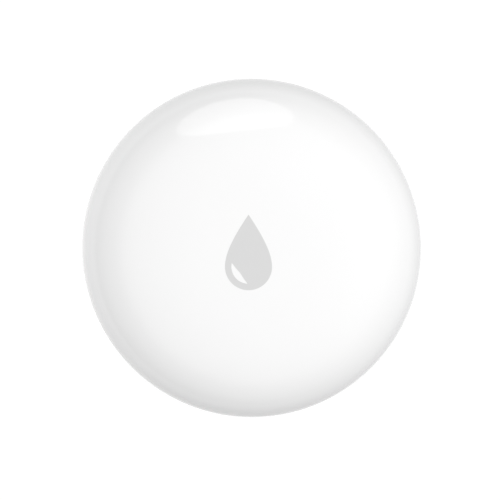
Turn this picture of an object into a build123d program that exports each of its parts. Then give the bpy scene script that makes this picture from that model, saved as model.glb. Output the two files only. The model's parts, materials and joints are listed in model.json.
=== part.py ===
from build123d import *
import math
import os

# Water leak sensor: a domed cover that is its own button, over a sealed base with a quarter-turn
# battery door and two probes that feel water on the floor.
# Sizes are in millimetres. The origin is the middle of the resting plane, +Z points up through
# the cover, the probes stand on the X axis, and the drop mark's tip points to +Y.

# Whole body, which is 50 mm across and 15 mm high from the sizes of what it holds
foot_height = 0.6
base_height = 4.0
service_width = 4.7
cover_travel = 0.25
overrun = 1.0

# Clearances
cover_stop_gap = 0.1
slide_gap = 0.2
seal_gap = 0.1
contact_gap = 0.05
press_gap = 0.05
screw_gap = 0.05
cell_layer_gap = 0.03

# Cover
cover_wall = 1.6
crown_share = 0.68
side_share = 0.77
inner_crown_share = 0.77
inner_side_share = 0.25
rim_width = 3.4
rim_round = 0.2
bore_depth = 3.35
bore_rise = 1.0
bore_lead = 0.3
rim_groove_wall = 1.1
rim_groove_width = 0.9
rim_groove_depth = 1.9
plunger_radius = 2.2
plunger_length = 1.95
rib_thickness = 0.9
rib_reach = 9.0
rib_step = 0.35
window_radius = 2.5
window_wall = 0.7

# Snap hooks
hook_count = 4
hook_first_angle = 45.0
hook_thickness = 0.6
hook_width = 5.0
hook_gap = 0.2
barb_reach = 0.65
barb_land = 0.25
barb_slope = 0.35
barb_gap = 0.05
root_share = 0.5

# Base casing
floor_thickness = 1.6
base_turn_in = 4.0
base_bottom_share = 0.55
base_side_share = 0.4
base_lip = 1.9
gutter_lift = 0.6
spigot_wall = 1.9
spigot_lead = 0.3
spigot_head_gap = 0.15
seal_groove_lift = 0.3
seal_groove_height = 1.1
seal_groove_depth = 0.8
bead_height = 0.55
foot_radius = 1.5
foot_flare = 0.3
floor_rib_thickness = 0.9
floor_rib_height = 1.3

# Coin cell
cell_radius = 10.0
cell_height = 3.2
can_wall = 0.25
can_round = 0.5
crimp_reach = 0.45
crimp_height = 0.3
cap_inset = 1.3
cap_proud = 0.25
cap_round = 0.2

# Battery door and its well
cup_gap = 0.25
cup_wall = 1.95
cell_show = 0.95
plate_thickness = 1.55
flange_thickness = 0.85
flange_lip = 1.35
flange_round = 0.2
flange_gap = 0.15
flange_seat_gap = 0.05
plug_gap = 0.1
door_groove_height = 1.25
door_groove_depth = 0.3
door_seal_gap = 0.075
land_height = 0.3
land_inset = 0.05
coin_radius = 12.1
coin_thickness = 1.9
slot_depth = 0.95
well_wall = 1.75
well_gusset = 0.8
well_rim = 0.4

# Steep three-start thread of the door
thread_starts = 3
thread_lead = 16.0
thread_first_angle = 20.0
bar_thickness = 0.9
bar_reach = 0.75
bar_gap = 0.12
ledge_height = 2.05
ledge_step = 0.15

# Circuit board and its screws
board_gap = 0.5
board_thickness = 1.0
cell_headroom = 1.25
boss_radius = 1.9
board_screw_edge = 2.2
board_screw_count = 3
board_screw_first_angle = 90.0
screw_radius = 0.7
screw_head_radius = 1.5
screw_head_height = 0.9
screw_head_round = 0.3
screw_length = 4.2
screw_drive_width = 0.4
screw_drive_length = 1.8
screw_drive_depth = 0.5
board_hole_gap = 0.25
boss_hole_spare = 0.4

# Water probes
probe_inset = 1.6
probe_head_radius = 2.2
probe_head_height = 1.0
probe_head_round = 0.3
probe_shank_radius = 1.05
probe_hole_gap = 0.05
probe_recess_gap = 0.15
probe_recess_depth = 1.3
probe_recess_roof = 1.1
probe_collar_wall = 0.95
probe_boss_wall = 1.25
probe_boss_drop = 0.9
probe_seal_gap = 0.08

# Spring contacts
leaf_thickness = 0.2
probe_leaf_width = 2.4
probe_leaf_drop = 1.2
probe_leaf_slope = 1.6
probe_leaf_foot = 2.6
probe_leaf_pad = 0.9
positive_width = 3.0
positive_foot = 3.2
positive_angle = 135.0
positive_lead = 0.45
negative_width = 4.0
negative_foot = 2.0
negative_slope = 3.4
negative_inset = 0.2
negative_slit = 1.0

# Parts on the board
chip_side = 5.0
chip_height = 0.85
chip_place_shares = (-0.46, -0.33)
crystal_length = 3.2
crystal_width = 2.5
crystal_height = 0.7
crystal_place_shares = (-0.42, 0.06)
passive_length = 1.6
passive_width = 0.8
capacitor_height = 0.8
resistor_height = 0.45
capacitor_place_shares = ((0.36, 0.30), (0.46, 0.30), (0.56, 0.30), (-0.70, -0.05), (-0.70, 0.10))
resistor_place_shares = ((0.40, -0.24), (0.50, -0.24), (0.40, -0.40), (0.50, -0.40))
led_length = 2.0
led_width = 1.25
led_base_height = 0.35
led_lens_height = 0.45
led_lens_inset = 0.25
led_place_shares = (0.0, 0.42)
trace_width = 0.5
trace_thickness = 0.07
trace_turns = 5
trace_pitch = 1.9
trace_depth = 3.2
trace_edge = 1.7

# Tact switch
switch_side = 6.0
switch_body_height = 2.8
switch_base = 1.3
switch_cavity_radius = 2.4
switch_plate_thickness = 0.25
switch_plate_gap = 0.05
rivet_radius = 0.35
rivet_inset = 0.65
rivet_gap = 0.05
rivet_proud = 0.12
stem_proud = 0.75
stem_radius = 1.7
stem_flange_gap = 0.25
stem_hole_gap = 0.15
stem_round = 0.15
nub_radius = 0.6
nub_height = 0.2
snap_dome_gap = 0.1
snap_dome_height = 0.5
snap_dome_thickness = 0.1
terminal_width = 0.7
terminal_thickness = 0.25
terminal_spacing = 4.5
terminal_exit = 0.7
terminal_shoulder = 0.45
terminal_run = 0.35
terminal_foot = 0.75

# Turns in degrees
full_turn = 360.0
half_turn = full_turn / 2
quarter_turn = full_turn / 4

# Radii from the coin cell outwards, through the door, the well and the spigot, to the cover
cap_radius = cell_radius - cap_inset
cup_inner = cell_radius + cup_gap
cup_outer = cup_inner + cup_wall
bar_radius = cup_outer + bar_reach
door_groove_radius = cup_outer - door_groove_depth
ledge_radius = cup_outer + plug_gap
well_radius = bar_radius + plug_gap
well_outer = well_radius + well_wall
flange_radius = well_radius + flange_lip
spigot_inner = well_outer + service_width
spigot_radius = spigot_inner + spigot_wall
bore_radius = spigot_radius + slide_gap
body_radius = bore_radius + rim_width

# Heights from the resting plane upwards, through the door, the cell and the board, to the switch
base_bottom = foot_height
floor_top = base_bottom + floor_thickness
flange_top = base_bottom + flange_thickness
counterbore_top = flange_top + flange_seat_gap
door_groove_top = flange_top + door_groove_height
lug_bottom = door_groove_top + land_height
ledge_bottom = lug_bottom + ledge_step
ledge_top = ledge_bottom + ledge_height
well_top = ledge_top + well_rim
cell_bottom = base_bottom + plate_thickness
cell_top = cell_bottom + cell_height
cup_top = cell_top - cell_show
board_bottom = cell_top + cell_headroom
board_top = board_bottom + board_thickness
cavity_floor = board_top + switch_base
stem_bottom = cavity_floor + snap_dome_height + press_gap
flange_under = stem_bottom + nub_height
switch_top = board_top + switch_body_height
stem_top = switch_top + switch_plate_thickness + stem_proud
plunger_bottom = stem_top + press_gap
body_height = plunger_bottom + plunger_length + cover_wall

# Heights of the seam between the base and the cover
parting_z = base_bottom + base_height
rim_z = parting_z + cover_travel + cover_stop_gap
bore_top = rim_z + bore_depth
spigot_top = bore_top - cover_travel - spigot_head_gap

# Snap hooks and their pockets
hook_outer = spigot_inner - hook_gap
hook_inner = hook_outer - hook_thickness
barb_radius = hook_outer + barb_reach
pocket_top = spigot_top - bead_height
barb_top = pocket_top - barb_gap
barb_bottom = barb_top - barb_land - barb_slope
pocket_bottom = barb_bottom - cover_travel - cover_stop_gap
hook_degrees = math.degrees(hook_width / hook_outer)
pocket_degrees = math.degrees((hook_width + 2 * hook_gap) / hook_outer)

# Thread bars of the door and the well
bar_degrees = full_turn * bar_thickness / thread_lead
bar_gap_degrees = full_turn * bar_gap / thread_lead

# Board, probes and switch
board_radius = hook_inner - board_gap
board_screw_circle = board_radius - board_screw_edge
screw_hole_radius = screw_radius + screw_gap
probe_circle = spigot_inner - probe_inset
probe_recess_radius = probe_head_radius + probe_recess_gap
probe_recess_top = base_bottom + probe_recess_depth
probe_hole_radius = probe_shank_radius + probe_hole_gap
probe_top = board_bottom - leaf_thickness - probe_leaf_drop
negative_flat = cap_radius - negative_inset - negative_foot - negative_slope
stem_flange_radius = switch_cavity_radius - stem_flange_gap
snap_dome_radius = switch_cavity_radius - snap_dome_gap


def turned(*points):
    """Solid of revolution about the body's axis from a closed outline of (radius, height) points."""
    return revolve(Plane.XZ * make_face(Polyline(*points, close=True)), Axis.Z)


def turned_outline(*lines):
    """Solid of revolution about the body's axis from lines and curves that close."""
    return revolve(Plane.XZ * make_face(Curve() + list(lines)), Axis.Z)


def ring(inner, outer, bottom, top):
    """Plain ring, or a disc where the inner radius is zero."""
    return turned((inner, bottom), (outer, bottom), (outer, top), (inner, top))


def post(radius, bottom, top):
    """Upright round post that stands at the origin."""
    return Pos(0, 0, (bottom + top) / 2) * Cylinder(radius, top - bottom)


def block(length, width, bottom, top):
    """Upright block that is centred on the origin in plan."""
    return Pos(0, 0, (bottom + top) / 2) * Box(length, width, top - bottom)


def around(solid, count, first_angle):
    """Copies of a solid, spread evenly about the body's axis."""
    return [place * solid for place in PolarLocations(0, count, first_angle)]


def around_at(solid, radius, count, first_angle):
    """Copies of a solid at a radius, spread evenly about the body's axis."""
    return [place * solid for place in PolarLocations(radius, count, first_angle)]


def sector(points, degrees):
    """Piece of a turned ring that is centred on the X axis."""
    face = Plane.XZ * make_face(Polyline(*points, close=True))
    return Rot(0, 0, -degrees / 2) * revolve(face, Axis.Z, degrees)


def dome_points(depth_share):
    """Control points of the dome's curve, from its outer face at 0 to its inner face at 1."""
    outer_end = rim_z + rim_round
    inner_end = bore_top + bore_rise
    inner_apex = body_height - cover_wall
    outer = (
        (0, body_height),
        (body_radius * crown_share, body_height),
        (body_radius, outer_end + (body_height - outer_end) * side_share),
        (body_radius, outer_end),
    )
    inner = (
        (0, inner_apex),
        (bore_radius * inner_crown_share, inner_apex),
        (bore_radius, inner_end + (inner_apex - inner_end) * inner_side_share),
        (bore_radius, inner_end),
    )
    return [
        (far[0] + (near[0] - far[0]) * depth_share, far[1] + (near[1] - far[1]) * depth_share)
        for far, near in zip(outer, inner)
    ]


def dome_core(depth_share):
    """Space under the dome's curve at a depth in its wall, down to the base's rim."""
    points = dome_points(depth_share)
    edge_radius = points[-1][0]
    return turned_outline(
        Bezier(*points),
        Line(points[-1], (edge_radius, parting_z)),
        Line((edge_radius, parting_z), (0, parting_z)),
        Line((0, parting_z), points[0]),
    )


def cover_shell():
    """Dome, rim and bore in one turned outline."""
    outer = dome_points(0)
    inner = dome_points(1)
    groove_inner = bore_radius + rim_groove_wall
    groove_outer = groove_inner + rim_groove_width
    groove_top = rim_z + rim_groove_depth
    rim_points = (
        inner[-1],
        (bore_radius, rim_z + bore_lead),
        (bore_radius + bore_lead, rim_z),
        (groove_inner, rim_z),
        (groove_inner, groove_top),
        (groove_outer, groove_top),
        (groove_outer, rim_z),
        (body_radius - rim_round, rim_z),
    )
    return turned_outline(
        Bezier(*outer),
        CenterArc((body_radius - rim_round, rim_z + rim_round), rim_round, 0, -quarter_turn),
        Polyline(*rim_points),
        Bezier(*inner),
        Line(inner[0], outer[0]),
    )


def snap_hooks():
    """Spring legs with barbs that hang from the dome and catch in the spigot's pockets."""
    outline = (
        (hook_inner, barb_bottom),
        (hook_outer, barb_bottom),
        (barb_radius, barb_bottom + barb_slope),
        (barb_radius, barb_top),
        (hook_outer, barb_top),
        (hook_outer, body_height),
        (hook_inner, body_height),
    )
    return around(sector(outline, hook_degrees), hook_count, hook_first_angle)


def plunger_ribs():
    """Ribs that spread the plunger's load over the crown."""
    outline = Polyline(
        (0, plunger_bottom + rib_step),
        (plunger_radius, plunger_bottom + rib_step),
        (rib_reach, body_height - cover_wall),
        (rib_reach, body_height),
        (0, body_height),
        close=True,
    )
    rib = extrude(Plane.XZ * make_face(outline), rib_thickness / 2, both=True)
    return around(rib, hook_count, hook_first_angle)


def top_cover():
    """Domed cover with its plunger, ribs, snap hooks and thin light window."""
    wall_core = dome_core(root_share)
    window_core = dome_core(window_wall / cover_wall)
    inside = [post(plunger_radius, plunger_bottom, body_height)] + plunger_ribs() + snap_hooks()
    cover = cover_shell() + [piece & wall_core for piece in inside]
    window = Pos(*on_board(led_place_shares), 0) * post(window_radius, board_top, body_height)
    return cover - (window & window_core)


def helical_bars(inner, outer, bottom, top, angle_at_zero):
    """One bar for each start of the door's thread, cut to a ring."""
    near = inner - overrun
    far = outer + overrun
    half = math.radians(bar_degrees / 2)
    plan = Polyline(
        (near * math.cos(half), -near * math.sin(half)),
        (far, -far * math.tan(half)),
        (far, far * math.tan(half)),
        (near * math.cos(half), near * math.sin(half)),
        close=True,
    )
    rise = top - bottom
    bar = Solid.extrude_linear_with_rotation(
        make_face(plan).face(), (0, 0, 0), (0, 0, rise), full_turn * rise / thread_lead
    )
    start = Pos(0, 0, bottom) * Rot(0, 0, full_turn * bottom / thread_lead)
    cut_bar = (start * bar) & ring(inner, outer, bottom, top)
    return around(cut_bar, thread_starts, angle_at_zero)


def base_shell():
    """Floor, outer wall, gutter and spigot of the base in one turned outline."""
    flat_radius = body_radius - base_turn_in
    outer_end = parting_z - rim_round
    belly = Bezier(
        (flat_radius, base_bottom),
        (flat_radius + base_turn_in * base_bottom_share, base_bottom),
        (body_radius, base_bottom + base_height * base_side_share),
        (body_radius, outer_end),
    )
    gutter_radius = body_radius - base_lip
    gutter_floor = floor_top + gutter_lift
    groove_bottom = parting_z + seal_groove_lift
    groove_top = groove_bottom + seal_groove_height
    groove_radius = spigot_radius - seal_groove_depth
    inside_points = (
        (body_radius - rim_round, parting_z),
        (gutter_radius, parting_z),
        (gutter_radius, gutter_floor),
        (spigot_radius, gutter_floor),
        (spigot_radius, groove_bottom),
        (groove_radius, groove_bottom),
        (groove_radius, groove_top),
        (spigot_radius, groove_top),
        (spigot_radius, spigot_top - spigot_lead),
        (spigot_radius - spigot_lead, spigot_top),
        (spigot_inner, spigot_top),
        (spigot_inner, floor_top),
        (0, floor_top),
        (0, base_bottom),
        (flat_radius, base_bottom),
    )
    return turned_outline(
        belly,
        CenterArc((body_radius - rim_round, outer_end), rim_round, 0, quarter_turn),
        Polyline(*inside_points),
    )


def well_tube():
    """Wall of the battery well with its gusset, before it is bored."""
    return turned(
        (0, floor_top),
        (well_outer + well_gusset, floor_top),
        (well_outer, floor_top + well_gusset),
        (well_outer, well_top),
        (0, well_top),
    )


def base_case():
    """Lower casing with its well, ledges, bosses, pockets and moulded feet."""
    boss = post(boss_radius, floor_top, board_bottom)
    boss_hole = post(screw_hole_radius, board_top - screw_length - boss_hole_spare, board_bottom)
    collar_radius = probe_recess_radius + probe_collar_wall
    collar = post(collar_radius, base_bottom, probe_recess_top + probe_recess_roof)
    probe_boss = post(probe_hole_radius + probe_boss_wall, floor_top, probe_top - probe_boss_drop)
    recess = post(probe_recess_radius, base_bottom, probe_recess_top)
    probe_hole = post(probe_hole_radius, base_bottom, probe_top)
    foot = Pos(0, 0, foot_height / 2) * Cone(foot_radius, foot_radius + foot_flare, foot_height)
    pocket_outline = (
        (hook_inner, pocket_bottom),
        (barb_radius + hook_gap, pocket_bottom),
        (barb_radius + hook_gap, pocket_top),
        (hook_inner, pocket_top),
    )
    rib_length = spigot_inner - well_outer + well_wall / 2
    rib = block(rib_length, floor_rib_thickness, floor_top, floor_top + floor_rib_height)
    rib_circle = (spigot_inner + well_outer) / 2
    case = base_shell() + well_tube() + around_at(rib, rib_circle, hook_count, hook_first_angle)
    case += around_at(boss, board_screw_circle, board_screw_count, board_screw_first_angle)
    case += around_at(collar + probe_boss, probe_circle, 2, 0)
    case -= ring(0, flange_radius + flange_gap, base_bottom, counterbore_top)
    case -= ring(0, well_radius, base_bottom, board_bottom)
    case -= around_at(boss_hole, board_screw_circle, board_screw_count, board_screw_first_angle)
    case -= around_at(recess + probe_hole, probe_circle, 2, 0)
    case -= around(sector(pocket_outline, pocket_degrees), hook_count, hook_first_angle)
    case += around_at(foot, probe_circle, 2, quarter_turn)
    case += helical_bars(ledge_radius, well_radius + overrun, ledge_bottom, ledge_top, thread_first_angle)
    return case


def battery_door():
    """Door with its coin slot, cell cup, seal groove and three helical lugs."""
    door = turned(
        (0, base_bottom),
        (flange_radius - flange_round, base_bottom),
        (flange_radius, base_bottom + flange_round),
        (flange_radius, flange_top),
        (door_groove_radius, flange_top),
        (door_groove_radius, door_groove_top),
        (bar_radius - land_inset, door_groove_top),
        (bar_radius - land_inset, lug_bottom),
        (cup_outer, lug_bottom),
        (cup_outer, cup_top),
        (cup_inner, cup_top),
        (cup_inner, cell_bottom),
        (0, cell_bottom),
    )
    coin = Rot(quarter_turn, 0, 0) * Cylinder(coin_radius, coin_thickness)
    slot = Pos(0, 0, base_bottom + slot_depth - coin_radius) * coin
    lug_angle = thread_first_angle - bar_degrees - bar_gap_degrees
    return door - slot + helical_bars(cup_outer, bar_radius, lug_bottom, cup_top, lug_angle)


def rubber_ring(centre_radius, section_radius, height):
    """Round-section seal that lies level."""
    return Pos(0, 0, height) * Torus(centre_radius, section_radius)


def case_seal():
    """Seal in the spigot's groove, against the cover's bore."""
    groove_radius = spigot_radius - seal_groove_depth
    height = parting_z + seal_groove_lift + seal_groove_height / 2
    section = (bore_radius - groove_radius) / 2 - seal_gap
    return rubber_ring((bore_radius + groove_radius) / 2, section, height)


def door_seal():
    """Seal in the door's groove, against the well's bore."""
    height = (flange_top + door_groove_top) / 2
    section = (well_radius - door_groove_radius) / 2 - door_seal_gap
    return rubber_ring((well_radius + door_groove_radius) / 2, section, height)


def probe_seal():
    """Square-cut washer between a probe's head and the roof of its recess."""
    inner = probe_shank_radius + probe_seal_gap
    outer = probe_recess_radius - probe_seal_gap
    return ring(inner, outer, probe_head_height + probe_seal_gap, probe_recess_top - probe_seal_gap)


def probe():
    """Plated stud whose head is a foot and whose shank carries the signal up."""
    return turned(
        (0, 0),
        (probe_head_radius - probe_head_round, 0),
        (probe_head_radius, probe_head_round),
        (probe_head_radius, probe_head_height),
        (probe_shank_radius, probe_head_height),
        (probe_shank_radius, probe_top),
        (0, probe_top),
    )


def cell_can():
    """Steel can of the coin cell, crimped in at its top."""
    crimp_top = cell_top - cap_proud
    return turned(
        (0, cell_bottom),
        (cell_radius - can_round, cell_bottom),
        (cell_radius, cell_bottom + can_round),
        (cell_radius, crimp_top),
        (cell_radius - crimp_reach, crimp_top),
        (cell_radius - crimp_reach, crimp_top - crimp_height),
        (cell_radius - can_wall, crimp_top - crimp_height),
        (cell_radius - can_wall, cell_bottom + can_round),
        (cell_radius - can_round, cell_bottom + can_wall),
        (0, cell_bottom + can_wall),
    )


def cell_gasket():
    """Plastic grommet between the cell's can and cap."""
    crimp_top = cell_top - cap_proud
    inner = cap_radius + cell_layer_gap
    outer = cell_radius - can_wall - cell_layer_gap
    neck = cell_radius - crimp_reach - cell_layer_gap
    shoulder = crimp_top - crimp_height - cell_layer_gap
    bottom = cell_bottom + can_round
    return turned((inner, bottom), (outer, bottom), (outer, shoulder), (neck, shoulder), (neck, crimp_top),
                  (inner, crimp_top))


def cell_cap():
    """Negative cap of the coin cell and the filling under it."""
    return turned(
        (0, cell_bottom + can_wall),
        (cap_radius, cell_bottom + can_wall),
        (cap_radius, cell_top - cap_round),
        (cap_radius - cap_round, cell_top),
        (0, cell_top),
    )


def strip(points, thickness, width):
    """Sheet metal strip, bent along its middle line in the XZ plane."""
    return extrude(Plane.XZ * trace(Polyline(*points), thickness), width / 2, both=True)


def probe_contact():
    """Leaf from the board's underside down to the top of a probe."""
    foot_z = board_bottom - leaf_thickness / 2
    pad_z = probe_top + leaf_thickness / 2
    bend = probe_circle - probe_leaf_pad
    return strip(
        (
            (bend - probe_leaf_slope - probe_leaf_foot, foot_z),
            (bend - probe_leaf_slope, foot_z),
            (bend, pad_z),
            (probe_circle + probe_leaf_pad, pad_z),
        ),
        leaf_thickness,
        probe_leaf_width,
    )


def positive_contact():
    """Strip that presses on the side of the cell."""
    side = cell_radius + contact_gap + leaf_thickness / 2
    foot_z = board_bottom - leaf_thickness / 2
    tip_z = cup_top + leaf_thickness
    leaf = strip(
        (
            (side + positive_foot, foot_z),
            (side, foot_z),
            (side, tip_z + positive_lead),
            (side + positive_lead, tip_z),
        ),
        leaf_thickness,
        positive_width,
    )
    return Rot(0, 0, positive_angle) * leaf


def negative_contact():
    """Slit leaf that bows down onto the cell's negative cap."""
    foot_z = board_bottom - leaf_thickness / 2
    flat_z = cell_top + contact_gap + leaf_thickness / 2
    knee = negative_flat + negative_slope
    half = (
        (negative_flat, flat_z),
        (knee, foot_z),
        (knee + negative_foot, foot_z),
    )
    mirrored = [(-across, height) for across, height in reversed(half)]
    leaf = strip((*mirrored, *half), leaf_thickness, negative_width)
    slit = block(2 * knee - negative_foot, negative_slit, cell_top, board_bottom)
    return Rot(0, 0, quarter_turn) * (leaf - slit)


def on_board(place_shares):
    """Place on the board from shares of its radius."""
    return tuple(share * board_radius for share in place_shares)


def circuit_board():
    """Round board with its three screw holes."""
    hole = post(screw_radius + board_hole_gap, board_bottom, board_top)
    board = post(board_radius, board_bottom, board_top)
    return board - around_at(hole, board_screw_circle, board_screw_count, board_screw_first_angle)


def board_screws():
    """Pan-head screws that hold the board on its bosses."""
    head_top = board_top + screw_head_height
    screw = turned(
        (0, board_top - screw_length),
        (screw_radius, board_top - screw_length + screw_radius),
        (screw_radius, board_top),
        (screw_head_radius, board_top),
        (screw_head_radius, head_top - screw_head_round),
        (screw_head_radius - screw_head_round, head_top),
        (0, head_top),
    )
    slot = block(screw_drive_length, screw_drive_width, head_top - screw_drive_depth, head_top)
    screw -= slot + Rot(0, 0, quarter_turn) * slot
    return Compound(around_at(screw, board_screw_circle, board_screw_count, board_screw_first_angle))


def radio_chip():
    """Radio and processor in one flat package."""
    return Pos(*on_board(chip_place_shares), 0) * block(chip_side, chip_side, board_top, board_top + chip_height)


def crystal():
    """Clock crystal in its metal can."""
    can = block(crystal_length, crystal_width, board_top, board_top + crystal_height)
    return Pos(*on_board(crystal_place_shares), 0) * can


def passives(place_shares, height):
    """Chip capacitors or resistors as a group of separate solids."""
    chip = block(passive_width, passive_length, board_top, board_top + height)
    return Compound([Pos(*on_board(shares), 0) * chip for shares in place_shares])


def antenna_trace():
    """Meander of bare copper along the board's edge."""
    start = -trace_turns * trace_pitch / 2
    inner_y = -(board_radius - trace_edge - trace_depth)
    outer_y = -(board_radius - trace_edge)
    points = [(start, inner_y)]
    for turn in range(trace_turns):
        across = start + turn * trace_pitch
        middle = across + trace_pitch / 2
        points += [(across, outer_y), (middle, outer_y), (middle, inner_y), (across + trace_pitch, inner_y)]
    return Pos(0, 0, board_top) * extrude(trace(Polyline(*points), trace_width), trace_thickness)


def led_substrate():
    """Base of the indicator light."""
    base = block(led_length, led_width, board_top, board_top + led_base_height)
    return Pos(*on_board(led_place_shares), 0) * base


def led_lens():
    """Clear lens of the indicator light."""
    bottom = board_top + led_base_height
    lens = block(led_length - 2 * led_lens_inset, led_width, bottom, bottom + led_lens_height)
    return Pos(*on_board(led_place_shares), 0) * lens


def rivet_places():
    """Corners of the switch where the housing's rivets hold its plate."""
    spacing = switch_side - 2 * rivet_inset
    return GridLocations(spacing, spacing, 2, 2)


def switch_housing():
    """Moulded switch body with its round cavity and four rivets."""
    rivet = post(rivet_radius, switch_top, switch_top + switch_plate_thickness + rivet_proud)
    body = block(switch_side, switch_side, board_top, switch_top)
    body -= post(switch_cavity_radius, cavity_floor, switch_top)
    return body + [place * rivet for place in rivet_places()]


def switch_plate():
    """Metal plate that keeps the stem in the switch."""
    top = switch_top + switch_plate_thickness
    plate = block(switch_side, switch_side, switch_top, top)
    hole = post(rivet_radius + rivet_gap, switch_top, top)
    plate -= post(stem_radius + stem_hole_gap, switch_top, top)
    return plate - [place * hole for place in rivet_places()]


def switch_stem():
    """Actuator between the cover's plunger and the snap dome."""
    flange_over = switch_top - switch_plate_gap
    return turned(
        (0, stem_bottom),
        (nub_radius, stem_bottom),
        (nub_radius, flange_under),
        (stem_flange_radius, flange_under),
        (stem_flange_radius, flange_over),
        (stem_radius, flange_over),
        (stem_radius, stem_top - stem_round),
        (stem_radius - stem_round, stem_top),
        (0, stem_top),
    )


def switch_dome():
    """Thin metal dome that snaps flat when the stem comes down."""
    apex = cavity_floor + snap_dome_height
    return turned_outline(
        ThreePointArc(*dome_arc_points(snap_dome_radius, apex)),
        Line((snap_dome_radius, cavity_floor), (snap_dome_radius - snap_dome_thickness, cavity_floor)),
        ThreePointArc(*dome_arc_points(snap_dome_radius - snap_dome_thickness, apex - snap_dome_thickness)),
        Line((0, apex - snap_dome_thickness), (0, apex)),
    )


def dome_arc_points(edge_radius, apex):
    """Apex, middle and edge of a shallow round arc that stands on the cavity's floor."""
    rise = apex - cavity_floor
    sphere_radius = (edge_radius ** 2 + rise ** 2) / (2 * rise)
    half_angle = math.asin(edge_radius / sphere_radius) / 2
    middle_z = apex - sphere_radius + sphere_radius * math.cos(half_angle)
    return (0, apex), (sphere_radius * math.sin(half_angle), middle_z), (edge_radius, cavity_floor)


def switch_terminals():
    """Four bent legs that stand on the board beside the switch."""
    side = switch_side / 2
    foot_z = board_top + terminal_thickness / 2
    leg = strip(
        (
            (side, board_top + terminal_exit),
            (side + terminal_shoulder, board_top + terminal_exit),
            (side + terminal_shoulder + terminal_run, foot_z),
            (side + terminal_shoulder + terminal_run + terminal_foot, foot_z),
        ),
        terminal_thickness,
        terminal_width,
    )
    pair = [Pos(0, shift, 0) * leg for shift in (-terminal_spacing / 2, terminal_spacing / 2)]
    return Compound([Rot(0, 0, turn) * piece for turn in (0, half_turn) for piece in pair])


def sided(name, solid):
    """Left and right copies of a solid that is drawn on the probe circle's axis."""
    return {f"{name}_right": solid, f"{name}_left": Rot(0, 0, half_turn) * solid}


def make_parts():
    """Every node of the sensor by name."""
    at_probe = Pos(probe_circle, 0, 0)
    parts = {
        "top_cover": top_cover(),
        "base_case": base_case(),
        "case_seal": case_seal(),
        "battery_door": battery_door(),
        "door_seal": door_seal(),
        "cell_can": cell_can(),
        "cell_gasket": cell_gasket(),
        "cell_cap": cell_cap(),
        "positive_contact": positive_contact(),
        "negative_contact": negative_contact(),
        "circuit_board": circuit_board(),
        "board_screws": board_screws(),
        "radio_chip": radio_chip(),
        "crystal": crystal(),
        "capacitors": passives(capacitor_place_shares, capacitor_height),
        "resistors": passives(resistor_place_shares, resistor_height),
        "antenna_trace": antenna_trace(),
        "led_substrate": led_substrate(),
        "led_lens": led_lens(),
        "switch_housing": switch_housing(),
        "switch_dome": switch_dome(),
        "switch_stem": switch_stem(),
        "switch_plate": switch_plate(),
        "switch_terminals": switch_terminals(),
    }
    parts.update(sided("probe", at_probe * probe()))
    parts.update(sided("probe_seal", at_probe * probe_seal()))
    parts.update(sided("probe_contact", probe_contact()))
    return parts


os.makedirs("parts", exist_ok=True)
for name, solid in make_parts().items():
    solid.label = name
    export_step(solid, f"parts/{name}.step")
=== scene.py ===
"""Looks of a round water leak sensor: finishes, printed and moulded marks, and studio."""

import json
import math

import bmesh
import bpy
from bpy.props import FloatProperty, FloatVectorProperty
from mathutils import Matrix, Vector
from mathutils.geometry import delaunay_2d_cdt


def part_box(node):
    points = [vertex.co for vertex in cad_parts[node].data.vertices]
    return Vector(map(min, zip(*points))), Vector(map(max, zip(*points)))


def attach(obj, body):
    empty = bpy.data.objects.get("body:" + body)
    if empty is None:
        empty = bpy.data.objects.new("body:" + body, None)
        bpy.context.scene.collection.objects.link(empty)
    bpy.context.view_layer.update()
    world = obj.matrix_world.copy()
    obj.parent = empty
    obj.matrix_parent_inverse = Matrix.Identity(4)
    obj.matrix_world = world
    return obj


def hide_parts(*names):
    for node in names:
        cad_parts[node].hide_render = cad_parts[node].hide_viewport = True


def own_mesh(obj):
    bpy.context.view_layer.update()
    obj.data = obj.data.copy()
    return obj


bl_info = {
    "name": "Water Leak Sensor Looks",
    "version": (1, 0, 0),
    "blender": (4, 5, 0),
    "location": "3D View > Sidebar > Leak Sensor",
    "description": "Finishes, printed mark, moulded marks and studio of a round water leak sensor",
    "category": "Object",
}

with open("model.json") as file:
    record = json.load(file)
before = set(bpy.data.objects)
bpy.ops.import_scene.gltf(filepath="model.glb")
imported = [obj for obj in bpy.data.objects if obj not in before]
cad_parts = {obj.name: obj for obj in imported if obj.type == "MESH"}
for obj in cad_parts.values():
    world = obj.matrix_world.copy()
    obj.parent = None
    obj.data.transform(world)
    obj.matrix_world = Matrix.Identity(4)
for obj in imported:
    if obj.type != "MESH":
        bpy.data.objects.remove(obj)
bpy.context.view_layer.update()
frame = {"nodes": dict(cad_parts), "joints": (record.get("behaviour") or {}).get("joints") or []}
cover_low, cover_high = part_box("top_cover")

MILLIMETRE = 0.001
FULL_TURN = 2 * math.pi
QUARTER_TURN = math.pi / 2

# Span in which most of a noise's values lie
NOISE_LOW, NOISE_HIGH = 0.3, 0.7

WHITE = (1, 1, 1, 1)

# Sockets of a Mix node that mixes colours
MIX_SHARE = 0
MIX_FIRST = 6
MIX_SECOND = 7
MIX_RESULT = 2


# Shader building


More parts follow.
